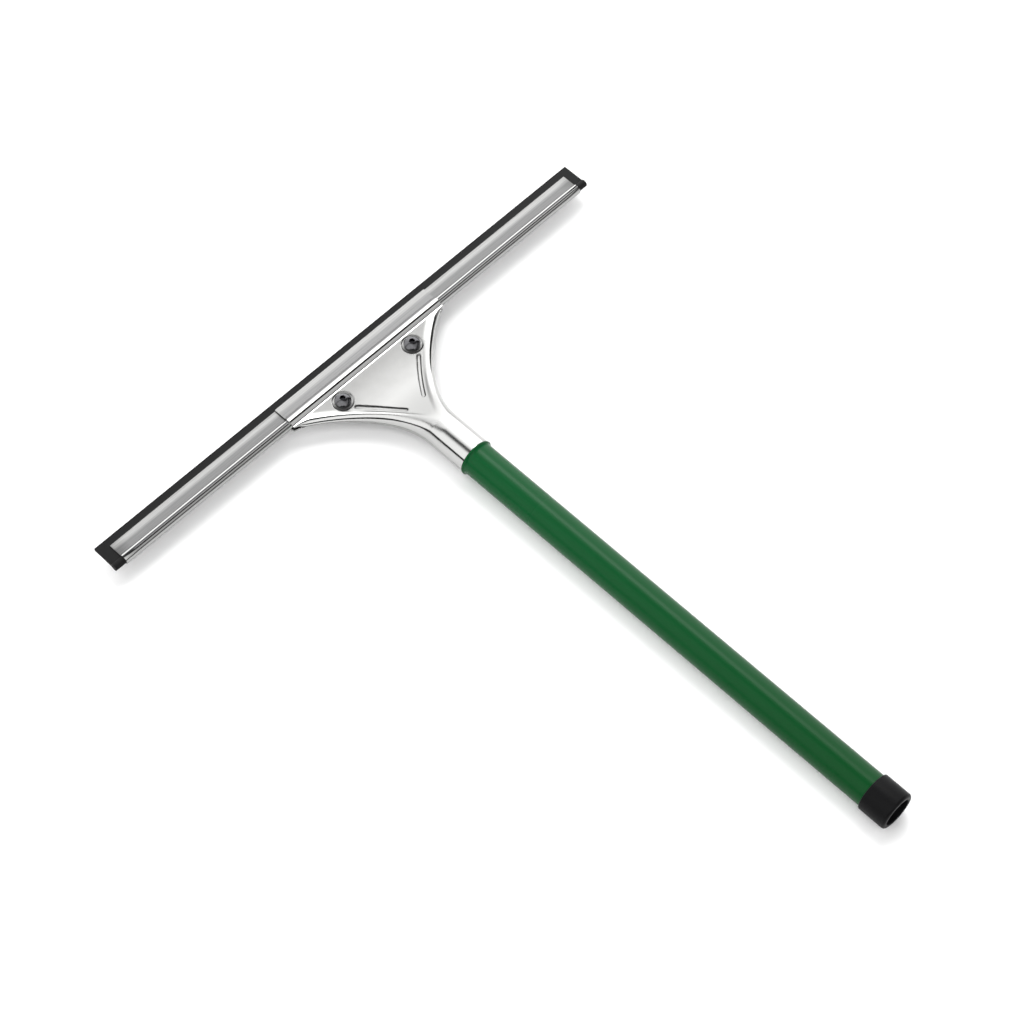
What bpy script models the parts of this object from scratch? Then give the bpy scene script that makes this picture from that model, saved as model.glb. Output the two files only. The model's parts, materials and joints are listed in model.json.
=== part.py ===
"""A window squeegee with a 35 cm head, lying on its two dome nuts and its end cap.

Sizes are in metres. Set-backs are measured from the rubber's front edge towards the end
of the handle, and heights from the plane that holds the handle's axis and the blade.
"""

import math

import bmesh
import bpy

# Rubber blade: a flat strip with a round bead along its back
rubber_thickness = 0.0022
rubber_exposed = 0.0050
rubber_overhang_left = 0.0070
rubber_overhang_right = 0.0062
bead_radius = 0.00225
bead_set_back = 0.0158

# Channel: a folded strip of stainless steel that holds the rubber by its bead
channel_length = 0.350
channel_sheet = 0.0006
channel_shift = 0.0031
rubber_clearance = 0.00015
lip_fillet = 0.0005

# Clamp plates: two pressed steel plates, the upper one as drawn and the lower one mirrored
plate_sheet = 0.0011
channel_clearance = 0.00015
seam_gap = 0.0002
jaw_length = 0.115
hump_fillet = 0.0020
web_height = 0.0025
web_tip_reach = 0.0241
web_tip_angle = math.radians(26.4)
web_neck_reach = 0.0224
neck_set_back = 0.0780
neck_end_set_back = 0.1040
rim_width = 0.0034
rim_slope_width = 0.0025
side_closing_length = 0.0035
crown_start_set_back = 0.0400
crown_end_set_back = 0.0740
groove_start_x = 0.0240
groove_start_set_back = 0.0353
groove_end_x = 0.0068
groove_end_set_back = 0.0569
groove_bow = 0.0006
groove_width = 0.0029
groove_depth = 0.0006

# Clamp screws: button heads with a hexagon socket, each with a captive spring washer
screw_spacing = 0.0535
screw_set_back = 0.0272
screw_head_radius = 0.00475
screw_head_height = 0.0028
screw_head_rim_height = 0.0005
screw_socket_width = 0.0032
screw_socket_depth = 0.0016
screw_radius = 0.00245
screw_length = 0.0120
screw_tip_chamfer = 0.0006
screw_hole_clearance = 0.0003
seat_radius = 0.0069
seat_depth = 0.0005
seat_gap = 0.0001

# Washers and dome nuts
spring_washer_radius = 0.0046
spring_washer_thickness = 0.0012
spring_washer_split = 0.0009
washer_clearance = 0.0001
flat_washer_radius = 0.0050
flat_washer_thickness = 0.0010
nut_width = 0.0080
nut_dome_height = 0.0041
nut_dome_overlap = 0.0020
nut_end_wall = 0.0015
nut_dome_radius = 0.0036
nut_bore_clearance = 0.0001

# Handle: a steel tube in a plastic sleeve, with a push-on cap that is open at its end
tube_radius = 0.0095
tube_wall = 0.0010
tube_start_set_back = 0.0800
neck_clearance = 0.0003
sleeve_wall = 0.0005
sleeve_clearance = 0.0001
sleeve_lip_overlap = 0.00025
sleeve_lip_thickness = 0.0008
sleeve_flare_length = 0.0022
cap_wall = 0.0011
cap_clearance = 0.0001
cap_length = 0.0172
cap_end_thickness = 0.0025
cap_hole_radius = 0.0083
cap_hole_round = 0.0005
cap_lining_radius = 0.0074
cap_lining_clearance = 0.0001
cap_lining_depth = 0.0150
cap_end_round = 0.0016
cap_mouth_round = 0.0008
tool_length = 0.4072

# How far cutters run past what they cut
overrun = 0.0010

# Numbers of flats on round shapes
turned_sides = 48
small_sides = 32
arc_steps = 5

# What follows from the sizes above
channel_radius = bead_radius + rubber_clearance + channel_sheet
channel_lip_height = rubber_thickness / 2 + rubber_clearance + channel_sheet
jaw_radius = channel_radius + channel_clearance + plate_sheet
jaw_lip_height = channel_lip_height + channel_clearance + plate_sheet
neck_radius = tube_radius + neck_clearance + plate_sheet
sleeve_radius = tube_radius + sleeve_clearance + sleeve_wall
sleeve_lip_radius = neck_radius + sleeve_lip_overlap
cap_radius = sleeve_radius + cap_clearance + cap_wall
washer_bore_radius = screw_radius + washer_clearance
seat_height = web_height - seat_depth
screw_head_seat = seat_height + spring_washer_thickness + 2 * seat_gap
axis_height = cap_radius
nut_height = axis_height - seat_height - flat_washer_thickness - 2 * seat_gap
nut_hex_height = nut_height - nut_dome_height
handle_x = channel_shift + (rubber_overhang_left - rubber_overhang_right) / 2
front_y = tool_length / 2


def material(name, color, roughness, metallic=0.0):
    made = bpy.data.materials.new(name)
    made.use_nodes = True
    shader = made.node_tree.nodes["Principled BSDF"]
    shader.inputs["Base Color"].default_value = (*color, 1.0)
    shader.inputs["Roughness"].default_value = roughness
    shader.inputs["Metallic"].default_value = metallic
    made.diffuse_color = (*color, 1.0)
    return made


def finish_object(name, bm, made_of, parent):
    bmesh.ops.recalc_face_normals(bm, faces=bm.faces)
    mesh = bpy.data.meshes.new(name)
    bm.to_mesh(mesh)
    bm.free()
    mesh.shade_smooth()
    mesh.set_sharp_from_angle(angle=math.radians(35))
    if made_of:
        mesh.materials.append(made_of)
    made = bpy.data.objects.new(name, mesh)
    bpy.context.scene.collection.objects.link(made)
    made.parent = parent
    return made


def as_cutter(made):
    made.hide_render = True
    made.display_type = "WIRE"
    return made


def cut(made, cutters, operation="DIFFERENCE"):
    for cutter in cutters:
        boolean = made.modifiers.new(cutter.name, "BOOLEAN")
        boolean.operation = operation
        boolean.solver = "EXACT"
        boolean.object = cutter


def turned(name, profile, made_of, parent, sides=turned_sides):
    """Turns a profile of (radius, distance along Z) points about Z.

    A profile that starts and ends on the axis makes a solid body. Any other closes on itself.
    """
    bm = bmesh.new()
    rings = []
    for radius, along in profile:
        if radius == 0:
            rings.append([bm.verts.new((0, 0, along))])
            continue
        turns = [2 * math.pi * i / sides for i in range(sides)]
        rings.append([bm.verts.new((radius * math.cos(a), radius * math.sin(a), along)) for a in turns])
    pairs = list(zip(rings, rings[1:]))
    if profile[0][0] != 0:
        pairs.append((rings[-1], rings[0]))
    for first, second in pairs:
        for i in range(sides):
            j = (i + 1) % sides
            corners = ((first, i), (first, j), (second, j), (second, i))
            bm.faces.new(dict.fromkeys(ring[k % len(ring)] for ring, k in corners))
    return finish_object(name, bm, made_of, parent)


def arc(centre, radius, start, end, steps=arc_steps):
    """Points on an arc, both ends included, with angles in radians."""
    angles = [start + (end - start) * i / steps for i in range(steps + 1)]
    return [(centre[0] + radius * math.cos(a), centre[1] + radius * math.sin(a)) for a in angles]


def joined_ends(name, ends, made_of, parent):
    """A body with two flat ends, each a list of corners, and faces that join them."""
    bm = bmesh.new()
    first, second = [[bm.verts.new(corner) for corner in end] for end in ends]
    bm.faces.new(first)
    bm.faces.new(second)
    for i in range(len(first)):
        j = (i + 1) % len(first)
        bm.faces.new((first[i], first[j], second[j], second[i]))
    return finish_object(name, bm, made_of, parent)


def extruded(name, outline, length, made_of, parent):
    """Runs an outline of (set-back, height) points along X, centred on X."""
    ends = [[(x, -set_back, height) for set_back, height in outline] for x in (-length / 2, length / 2)]
    return joined_ends(name, ends, made_of, parent)


def prism(name, outline, bottom, top, made_of, parent):
    """Runs an outline of (x, y) points along Z."""
    return joined_ends(name, [[(x, y, z) for x, y in outline] for z in (bottom, top)], made_of, parent)


def lip_and_hump(lip_height, radius, fillet, inset, last_angle):
    """The upper half of a folded section: a flat lip, a fillet and a round hump over the bead.

    The inset is how deep in the sheet the line lies: zero for its outer face.
    """
    rise = math.sqrt((radius + fillet) ** 2 - (lip_height + fillet) ** 2)
    centre = (bead_set_back - rise, lip_height + fillet)
    meeting = math.atan2(centre[1], -rise)
    points = [(rubber_exposed, lip_height - inset)]
    points += arc(centre, fillet + inset, -math.pi / 2, meeting - math.pi, 3)
    points += arc((bead_set_back, 0), radius - inset, meeting, last_angle, 2 * arc_steps)[1:]
    return points


def mirrored(points):
    return [(set_back, -height) for set_back, height in reversed(points)]


def build_rubber(made_of, parent):
    inset = channel_sheet + rubber_clearance
    half = lip_and_hump(channel_lip_height, channel_radius, lip_fillet, inset, 0)
    upper = [(0, rubber_thickness / 2)] + half[1:]
    outline = upper + mirrored(upper[:-1])
    length = channel_length + rubber_overhang_left + rubber_overhang_right
    made = extruded("rubber_blade", outline, length, made_of, parent)
    made.location.x = (rubber_overhang_right - rubber_overhang_left) / 2
    return made


def build_channel(made_of, parent):
    outer = lip_and_hump(channel_lip_height, channel_radius, lip_fillet, 0, 0)
    inner = lip_and_hump(channel_lip_height, channel_radius, lip_fillet, channel_sheet, 0)
    outline = outer + mirrored(outer)[1:] + [(s, -h) for s, h in inner] + inner[::-1][1:]
    made = extruded("blade_channel", outline, channel_length, made_of, parent)
    made.location.x = -channel_shift
    return made


def web_edge(share):
    """The plate's curved side: (half width, set-back) and its direction, from the jaw to the neck."""
    back = jaw_back_set_back()
    tip = (jaw_length / 2, back)
    along, across = web_tip_reach * math.sin(web_tip_angle), web_tip_reach * math.cos(web_tip_angle)
    tip_pull = (tip[0] - across, back + along)
    neck = (neck_radius, neck_set_back)
    neck_pull = (neck_radius, neck_set_back - web_neck_reach)
    corners = (tip, tip_pull, neck_pull, neck)
    rest = 1 - share
    weights = (rest**3, 3 * share * rest**2, 3 * share**2 * rest, share**3)
    point = [sum(w * c[k] for w, c in zip(weights, corners)) for k in (0, 1)]
    slopes = (rest**2, 2 * share * rest, share**2)
    steps = list(zip(corners, corners[1:]))
    run = [sum(w * (b[k] - a[k]) for w, (a, b) in zip(slopes, steps)) for k in (0, 1)]
    size = math.hypot(*run)
    return point, (run[0] / size, run[1] / size)


def jaw_back_set_back():
    reach = (jaw_radius + hump_fillet) ** 2 - (web_height + hump_fillet) ** 2
    return bead_set_back + math.sqrt(reach)


def jaw_rows(inset):
    """The plate's section over the channel: lip, hump, and the fillet down to the flat web."""
    back = jaw_back_set_back()
    meeting = math.atan2(web_height + hump_fillet, back - bead_set_back)
    points = lip_and_hump(jaw_lip_height, jaw_radius, lip_fillet, inset, meeting)
    centre = (back, web_height + hump_fillet)
    return points + arc(centre, hump_fillet + inset, meeting + math.pi, 1.5 * math.pi, 3)[1:]


def smooth(share):
    share = min(max(share, 0.0), 1.0)
    return share * share * (3 - 2 * share)


# The columns of the plate's surface: angles over the rim, then shares of the rim's inner slope
# and of the flat panel. Its rows: shares of the curved side and of the neck.
rim_angles = [math.radians(a) for a in (0, 12, 26, 42, 58, 74, 90)]
slope_shares = (1 / 3, 2 / 3, 1)
panel_shares = (0.4, 0.75, 1)
web_shares = (0.03, 0.07, 0.12, 0.18, 0.25, 0.33, 0.41, 0.49, 0.57, 0.64, 0.7, 0.76, 0.81, 0.86)
web_shares += (0.9, 0.94, 0.97, 1)
neck_shares = (0.35, 1)
widest_rim_share = 0.8
widest_slope_share = 0.7
straight_lean = 1.0


def neck_share_at(set_back):
    """How far a row of the plate lies from its jaw to its neck, from 0 to 1."""
    return min((set_back - jaw_back_set_back()) / (neck_set_back - jaw_back_set_back()), 1.0)


def crest_height(set_back):
    """The height of the rims, which rise from the web to the top of the neck."""
    return web_height + (neck_radius - web_height) * neck_share_at(set_back) ** 2


def panel_height(set_back):
    """The height of the panel between the rims, flat by the jaw and level with them at the neck."""
    crown = smooth((set_back - crown_start_set_back) / (crown_end_set_back - crown_start_set_back))
    return web_height + (crest_height(set_back) - web_height) * crown


def web_row(set_back, half_width, lean, inset):
    """Half a row of the plate behind its jaw, from the side to the middle, as (x, height) points."""
    neck_share = neck_share_at(set_back)
    crest = crest_height(set_back) - inset
    closed = smooth((set_back - jaw_back_set_back()) / side_closing_length)
    rim = (rim_width + (neck_radius - rim_width) * neck_share**4) / lean
    inner = half_width - rim
    depth = inset * closed / lean
    slope = rim_slope_width / lean
    panel = panel_height(set_back) - inset
    shown = min(rim - depth, widest_rim_share * half_width)
    xs = [half_width - depth - shown * (1 - math.cos(a)) for a in rim_angles]
    last = xs[-1]
    fall = min(slope, widest_slope_share * last)
    xs += [last - fall * share for share in slope_shares]
    xs += [(last - fall) * (1 - share) for share in panel_shares]
    row = []
    for x in xs:
        if x >= inner:
            over = math.sqrt(max(1 - ((x - inner) / (rim - depth)) ** 2, 0.0))
            height = crest * (1 - closed) + closed * (seam_gap / 2 + (crest - seam_gap / 2) * over)
        else:
            height = crest + (panel - crest) * smooth((inner - x) / slope)
        row.append((x, height))
    return row


def plate_rows(inset):
    """Every row of one face of the plate, as (x, set-back, height) points from side to side."""
    rows = []
    first_edge, first_run = web_edge(0)
    for set_back, height in jaw_rows(inset):
        flat = [x for x, _ in web_row(jaw_back_set_back(), first_edge[0], first_run[1], 0)]
        rows.append([(x, set_back, height) for x in flat])
    for share in web_shares:
        (half_width, set_back), run = web_edge(share)
        rows.append([(x, set_back, h) for x, h in web_row(set_back, half_width, run[1], inset)])
    for share in neck_shares:
        set_back = neck_set_back + (neck_end_set_back - neck_set_back) * share
        rows.append([(x, set_back, h) for x, h in web_row(set_back, neck_radius, straight_lean, inset)])
    return [row + [(-x, s, h) for x, s, h in reversed(row[:-1])] for row in rows]


def build_plate(name, up, made_of, parent):
    """One clamp plate. Up is 1 for the upper plate and -1 for the lower one."""
    bm = bmesh.new()
    faces = []
    for inset in (0, plate_sheet):
        faces.append([[bm.verts.new((x, -s, up * h)) for x, s, h in row] for row in plate_rows(inset)])
    outer, inner = faces
    last_row = len(outer) - 1
    last_column = len(outer[0]) - 1
    for grid in faces:
        for i in range(last_row):
            for j in range(last_column):
                bm.faces.new((grid[i][j], grid[i][j + 1], grid[i + 1][j + 1], grid[i + 1][j]))
    for i in (0, last_row):
        for j in range(last_column):
            bm.faces.new((outer[i][j], outer[i][j + 1], inner[i][j + 1], inner[i][j]))
    for j in (0, last_column):
        for i in range(last_row):
            bm.faces.new((outer[i][j], outer[i + 1][j], inner[i + 1][j], inner[i][j]))
    made = finish_object(name, bm, made_of, parent)
    cutters = []
    for side in (-1, 1):
        x = side * screw_spacing / 2
        top = web_height + overrun
        hole_radius = screw_radius + screw_hole_clearance
        hole_profile = [(0, -overrun), (hole_radius, -overrun), (hole_radius, top), (0, top)]
        hole = turned(f"{name}_hole_{side}", hole_profile, None, parent, small_sides)
        seat_floor = [(0, seat_height), (seat_radius - seat_depth, seat_height)]
        seat_profile = seat_floor + [(seat_radius + overrun, top), (0, top)]
        seat = turned(f"{name}_seat_{side}", seat_profile, None, parent, small_sides)
        for cutter in (hole, seat):
            cutter.location = (x, -screw_set_back, 0)
            cutter.rotation_euler.x = 0 if up > 0 else math.pi
        cutters += [as_cutter(hole), as_cutter(seat), as_cutter(groove_cutter(name, side, up, parent))]
    cut(made, cutters)
    return made


def groove_cutter(name, side, up, parent):
    """A round-ended strip that bows towards the middle of the plate and rises with its panel."""
    start = (groove_start_x, groove_start_set_back)
    run = (groove_end_x - groove_start_x, groove_end_set_back - groove_start_set_back)
    length = math.hypot(*run)
    along = (run[0] / length, run[1] / length)
    across = (-along[1], along[0])
    half = groove_width / 2
    sections = []
    steps = 12
    for i in range(steps + 1):
        share = i / steps
        bow = 4 * groove_bow * share * (1 - share)
        lean = 4 * groove_bow * (1 - 2 * share) / length
        x, s = [start[k] + run[k] * share + across[k] * bow for k in (0, 1)]
        heading = math.atan2(along[1] + across[1] * lean, along[0] + across[0] * lean)
        u, v = math.cos(heading), math.sin(heading)
        sides = [(x - half * v, s + half * u), (x + half * v, s - half * u)]
        round_end = []
        if i in (0, steps):
            turn = math.pi if i == 0 else 0.0
            round_end = arc((x, s), half, heading + turn - math.pi / 2, heading + turn + math.pi / 2, 6)[1:-1]
        sections.append((panel_height(s), sides, round_end))
    bm = bmesh.new()
    layers = []
    for lift in (-groove_depth, overrun):
        rows = []
        for height, sides, round_end in sections:
            corners = [(side * x, -s, up * (height + lift)) for x, s in sides + round_end]
            rows.append([bm.verts.new(corner) for corner in corners])
        for first, second in zip(rows, rows[1:]):
            bm.faces.new((first[0], second[0], second[1], first[1]))
        bm.faces.new([rows[0][0]] + rows[0][2:] + [rows[0][1]])
        bm.faces.new([rows[-1][1]] + rows[-1][2:] + [rows[-1][0]])
        loop = [row[0] for row in rows[::-1]] + rows[0][2:] + [row[1] for row in rows] + rows[-1][2:]
        layers.append(loop)
    low, high = layers
    for i in range(len(low)):
        j = (i + 1) % len(low)
        bm.faces.new((low[i], low[j], high[j], high[i]))
    return finish_object(f"{name}_groove_{side}", bm, None, parent)


def hexagon(width):
    turns = [2 * math.pi * i / 6 for i in range(6)]
    corner = width / math.sqrt(3)
    return [(corner * math.cos(a), corner * math.sin(a)) for a in turns]


def build_screw(name, side, made_of, parent):
    """A button-head screw, its origin on its axis at the underside of the head."""
    dome_height = screw_head_height - screw_head_rim_height
    dome_radius = (screw_head_radius**2 + dome_height**2) / (2 * dome_height)
    dome_centre = screw_head_height - dome_radius
    edge = math.asin(screw_head_radius / dome_radius)
    turns = [edge * i / arc_steps for i in range(arc_steps + 1)]
    dome = [(dome_radius * math.sin(a), dome_centre + dome_radius * math.cos(a)) for a in turns]
    profile = dome + [
        (screw_head_radius, 0),
        (screw_radius, 0),
        (screw_radius, screw_tip_chamfer - screw_length),
        (screw_radius - screw_tip_chamfer, -screw_length),
        (0, -screw_length),
    ]
    made = turned(name, profile, made_of, parent, small_sides)
    made.location = (side * screw_spacing / 2, -screw_set_back, screw_head_seat)
    floor = screw_head_height - screw_socket_depth
    top = screw_head_height + overrun
    cut(made, [as_cutter(prism(f"{name}_socket", hexagon(screw_socket_width), floor, top, None, made))])
    return made


def build_spring_washer(name, side, made_of, parent):
    """A split ring, its ends parted by the split."""
    half_split = spring_washer_split / (spring_washer_radius + washer_bore_radius)
    steps = small_sides
    bm = bmesh.new()
    rings = []
    for i in range(steps + 1):
        turn = half_split + (2 * math.pi - 2 * half_split) * i / steps
        corners = []
        for radius, height in (
            (washer_bore_radius, 0),
            (spring_washer_radius, 0),
            (spring_washer_radius, spring_washer_thickness),
            (washer_bore_radius, spring_washer_thickness),
        ):
            corners.append(bm.verts.new((radius * math.cos(turn), radius * math.sin(turn), height)))
        rings.append(corners)
    for first, second in zip(rings, rings[1:]):
        for i in range(len(first)):
            j = (i + 1) % len(first)
            bm.faces.new((first[i], first[j], second[j], second[i]))
    bm.faces.new(rings[0])
    bm.faces.new(rings[-1])
    made = finish_object(name, bm, made_of, parent)
    made.location = (side * screw_spacing / 2, -screw_set_back, seat_height + seat_gap)
    return made


def build_flat_washer(name, side, made_of, parent):
    """A plain ring under the lower plate, its origin on the screw's axis at its upper face."""
    profile = [
        (washer_bore_radius, 0),
        (flat_washer_radius, 0),
        (flat_washer_radius, -flat_washer_thickness),
        (washer_bore_radius, -flat_washer_thickness),
    ]
    made = turned(name, profile, made_of, parent, small_sides)
    made.location = (side * screw_spacing / 2, -screw_set_back, -seat_height - seat_gap)
    return made


def build_nut(name, side, made_of, parent):
    """A dome nut with its open face up, its origin on the screw's axis at that face."""
    made = prism(name, hexagon(nut_width), -nut_hex_height, 0, made_of, parent)
    made.location = (side * screw_spacing / 2, -screw_set_back, nut_height - axis_height)
    turns = [math.pi / 2 * i / arc_steps for i in range(arc_steps)]
    start = nut_dome_overlap - nut_hex_height
    dome_profile = [(0, start), (nut_dome_radius, start)]
    for a in turns:
        fall = nut_hex_height + nut_dome_height * math.sin(a)
        dome_profile.append((nut_dome_radius * math.cos(a), -fall))
    dome_profile.append((0, -nut_height))
    dome = turned(f"{name}_dome", dome_profile, None, made, small_sides)
    bore_radius = screw_radius + nut_bore_clearance
    bore_end = nut_end_wall - nut_height
    bore_profile = [(0, bore_end), (bore_radius, bore_end), (bore_radius, overrun), (0, overrun)]
    bore = turned(f"{name}_bore", bore_profile, None, made, small_sides)
    cut(made, [as_cutter(dome)], "UNION")
    cut(made, [as_cutter(bore)])
    return made


def place_on_handle(made):
    """Turns a piece's Z axis to run along the handle, away from the blade."""
    made.rotation_euler.x = math.pi / 2
    return made


def build_tube(made_of, parent):
    end = tool_length - cap_end_thickness - seat_gap
    bore = tube_radius - tube_wall
    start = tube_start_set_back
    profile = [(bore, start), (tube_radius, start), (tube_radius, end), (bore, end)]
    return place_on_handle(turned("handle_tube", profile, made_of, parent))


def build_sleeve(made_of, parent):
    """The plastic sleeve, with a thin lip that stands up against the end of the neck."""
    start = neck_end_set_back + seat_gap
    end = tool_length - cap_end_thickness - seat_gap
    bore = tube_radius + sleeve_clearance
    flare_start = start + sleeve_lip_thickness
    flare = sleeve_lip_radius - sleeve_radius
    steps = [math.pi / 2 * i / arc_steps for i in range(arc_steps + 1)]
    curve = [
        (sleeve_lip_radius - flare * math.sin(a), flare_start + sleeve_flare_length * (1 - math.cos(a)))
        for a in steps
    ]
    profile = [(bore, start), (sleeve_lip_radius, start)] + curve + [(sleeve_radius, end), (bore, end)]
    return place_on_handle(turned("grip_sleeve", profile, made_of, parent))


def build_cap(made_of, parent):
    """The push-on cap: its wall goes round the sleeve, and a lining runs from its hole into the tube."""
    start = tool_length - cap_length
    floor = tool_length - cap_end_thickness
    bore = sleeve_radius + cap_clearance
    lining = tube_radius - tube_wall - cap_lining_clearance
    end_centre = (tool_length - cap_end_round, cap_radius - cap_end_round)
    end_round = arc(end_centre, cap_end_round, math.pi / 2, 0)
    mouth_centre = (start + cap_mouth_round, cap_radius - cap_mouth_round)
    mouth_round = arc(mouth_centre, cap_mouth_round, math.pi, math.pi / 2)
    hole_centre = (tool_length - cap_hole_round, cap_hole_radius + cap_hole_round)
    hole_round = arc(hole_centre, cap_hole_round, 0, -math.pi / 2)
    profile = [(bore, floor), (bore, start)]
    profile += [(radius, along) for along, radius in mouth_round + end_round + hole_round]
    profile += [(cap_hole_radius, floor), (cap_lining_radius, floor - cap_hole_radius + cap_lining_radius)]
    lining_start = floor - cap_lining_depth
    profile += [(cap_lining_radius, lining_start), (lining, lining_start), (lining, floor)]
    return place_on_handle(turned("end_cap", profile, made_of, parent))


def build():
    for old in list(bpy.data.objects):
        bpy.data.objects.remove(old, do_unlink=True)

    rubber = material("black_rubber", (0.02, 0.02, 0.022), 0.6)
    channel_steel = material("brushed_channel_steel", (0.62, 0.62, 0.62), 0.3, 1.0)
    plate_steel = material("satin_plate_steel", (0.66, 0.66, 0.65), 0.25, 1.0)
    screw_steel = material("dark_screw_steel", (0.16, 0.16, 0.17), 0.3, 1.0)
    nut_steel = material("nut_steel", (0.6, 0.6, 0.6), 0.3, 1.0)
    tube_steel = material("tube_steel", (0.55, 0.55, 0.56), 0.35, 1.0)
    sleeve_plastic = material("green_sleeve_plastic", (0.015, 0.14, 0.045), 0.35)
    cap_plastic = material("black_cap_plastic", (0.015, 0.015, 0.016), 0.4)

    tool = bpy.data.objects.new("tool_axis", None)
    bpy.context.scene.collection.objects.link(tool)
    tool.location = (handle_x, front_y, axis_height)

    channel = build_channel(channel_steel, tool)
    build_rubber(rubber, channel)
    build_plate("upper_clamp_plate", 1, plate_steel, tool)
    build_plate("lower_clamp_plate", -1, plate_steel, tool)
    for side, word in ((-1, "left"), (1, "right")):
        build_screw(f"clamp_screw_{word}", side, screw_steel, tool)
        build_spring_washer(f"spring_washer_{word}", side, screw_steel, tool)
        build_flat_washer(f"flat_washer_{word}", side, nut_steel, tool)
        build_nut(f"dome_nut_{word}", side, nut_steel, tool)
    build_tube(tube_steel, tool)
    build_sleeve(sleeve_plastic, tool)
    build_cap(cap_plastic, tool)


build()
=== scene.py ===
import json
import math

import bmesh
import bpy
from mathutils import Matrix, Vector


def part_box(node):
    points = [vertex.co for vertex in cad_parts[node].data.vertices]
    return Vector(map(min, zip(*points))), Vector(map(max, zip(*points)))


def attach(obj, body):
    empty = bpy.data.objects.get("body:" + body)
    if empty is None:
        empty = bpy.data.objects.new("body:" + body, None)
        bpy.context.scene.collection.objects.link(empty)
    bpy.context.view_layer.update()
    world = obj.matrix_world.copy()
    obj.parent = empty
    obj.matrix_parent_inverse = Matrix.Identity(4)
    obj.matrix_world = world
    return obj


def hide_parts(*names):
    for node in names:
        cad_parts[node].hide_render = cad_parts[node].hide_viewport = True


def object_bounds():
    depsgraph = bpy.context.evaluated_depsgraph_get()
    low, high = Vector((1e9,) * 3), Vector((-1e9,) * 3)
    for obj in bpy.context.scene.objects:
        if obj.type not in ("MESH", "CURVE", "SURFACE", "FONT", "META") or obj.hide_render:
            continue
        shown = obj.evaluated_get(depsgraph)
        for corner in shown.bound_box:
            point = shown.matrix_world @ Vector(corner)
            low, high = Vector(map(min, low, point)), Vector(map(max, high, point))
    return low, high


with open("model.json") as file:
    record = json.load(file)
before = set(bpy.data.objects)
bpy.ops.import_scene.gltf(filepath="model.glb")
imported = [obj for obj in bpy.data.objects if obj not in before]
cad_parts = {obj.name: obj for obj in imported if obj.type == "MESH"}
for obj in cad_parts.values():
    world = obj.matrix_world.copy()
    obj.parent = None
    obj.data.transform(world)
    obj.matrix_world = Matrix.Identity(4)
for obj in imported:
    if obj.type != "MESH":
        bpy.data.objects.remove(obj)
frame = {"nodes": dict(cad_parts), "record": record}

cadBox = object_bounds()

# The handle's axis and the rubber's front edge, read from the frame
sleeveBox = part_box("grip_sleeve")
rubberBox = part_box("rubber_blade")
axisX = (sleeveBox[0].x + sleeveBox[1].x) / 2
axisZ = (sleeveBox[0].z + sleeveBox[1].z) / 2
frontY = rubberBox[1].y

# Shared by the pieces: angles are in degrees and all lengths in metres
shared = {"smoothAngle": 40, "edgeSegments": 2, "mergeWithin": 1e-6, "startSize": 0.001, "turnedSides": 128}
screwAt = {"x": 0.02675, "setBack": 0.0272}


def place(x, setBack, height):
    # From the part's own measures to the frame: set-backs run from the rubber's edge towards the cap
    return Vector((axisX + x, frontY - setBack, axisZ + height))


def atScrew(side, height):
    return place(side * screwAt["x"], screwAt["setBack"], height)


def hexColor(text):
    # An sRGB hex value turned to linear, by the standard's own formula
    parts = [int(text[i:i + 2], 16) / 255 for i in (1, 3, 5)]
    return tuple(c / 12.92 if c <= 0.04045 else ((c + 0.055) / 1.055) ** 2.4 for c in parts) + (1.0,)


def addNode(tree, kind, settings=None, links=None, values=None):
    # settings are the node's own, values go on its sockets and links come from other nodes' sockets
    node = tree.nodes.new(kind)
    for key, value in (settings or {}).items():
        setattr(node, key, value)
    for key, value in (values or {}).items():
        node.inputs[key].default_value = value
    for key, source in (links or {}).items():
        tree.links.new(source, node.inputs[key])
    return node


def newMaterial(name):
    made = bpy.data.materials.new(name)
    made.use_nodes = True
    return made, made.node_tree, made.node_tree.nodes["Principled BSDF"]


def nothingPicked():
    if bpy.context.mode != "OBJECT":
        bpy.ops.object.mode_set(mode="OBJECT")
    bpy.ops.object.select_all(action="DESELECT")


def pickOnly(piece):
    nothingPicked()
    piece.select_set(True)
    bpy.context.view_layer.objects.active = piece


def pick(piece, test, kind="VERT"):
    # In edit mode, selects the parts of a piece whose middle passes the test
    bpy.ops.mesh.select_mode(type=kind)
    bpy.ops.mesh.select_all(action="DESELECT")
    mesh = bmesh.from_edit_mesh(piece.data)
    if kind == "FACE":
        for face in mesh.faces:
            face.select_set(bool(test(face.calc_center_median(), face.normal)))
    else:
        for vert in mesh.verts:
            if test(vert.co):
                vert.select_set(True)
    mesh.select_flush(True)
    bmesh.update_edit_mesh(piece.data)


def applyAll(piece):
    pickOnly(piece)
    bpy.ops.object.transform_apply(location=True, rotation=True, scale=True)
    for modifier in list(piece.modifiers):
        bpy.ops.object.modifier_apply(modifier=modifier.name)


def booleanWith(piece, other, operation="DIFFERENCE"):
    cut = piece.modifiers.new(operation.lower(), "BOOLEAN")
    cut.object, cut.operation, cut.solver = other, operation, "EXACT"
    pickOnly(piece)
    bpy.ops.object.modifier_apply(modifier=cut.name)
    bpy.data.objects.remove(other, do_unlink=True)


def softEdges(piece, width, angle):
    bevel = piece.modifiers.new("soft edges", "BEVEL")
    bevel.width, bevel.segments, bevel.limit_method = width, shared["edgeSegments"], "ANGLE"
    bevel.angle_limit = math.radians(angle)
    bevel.use_clamp_overlap = True


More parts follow.
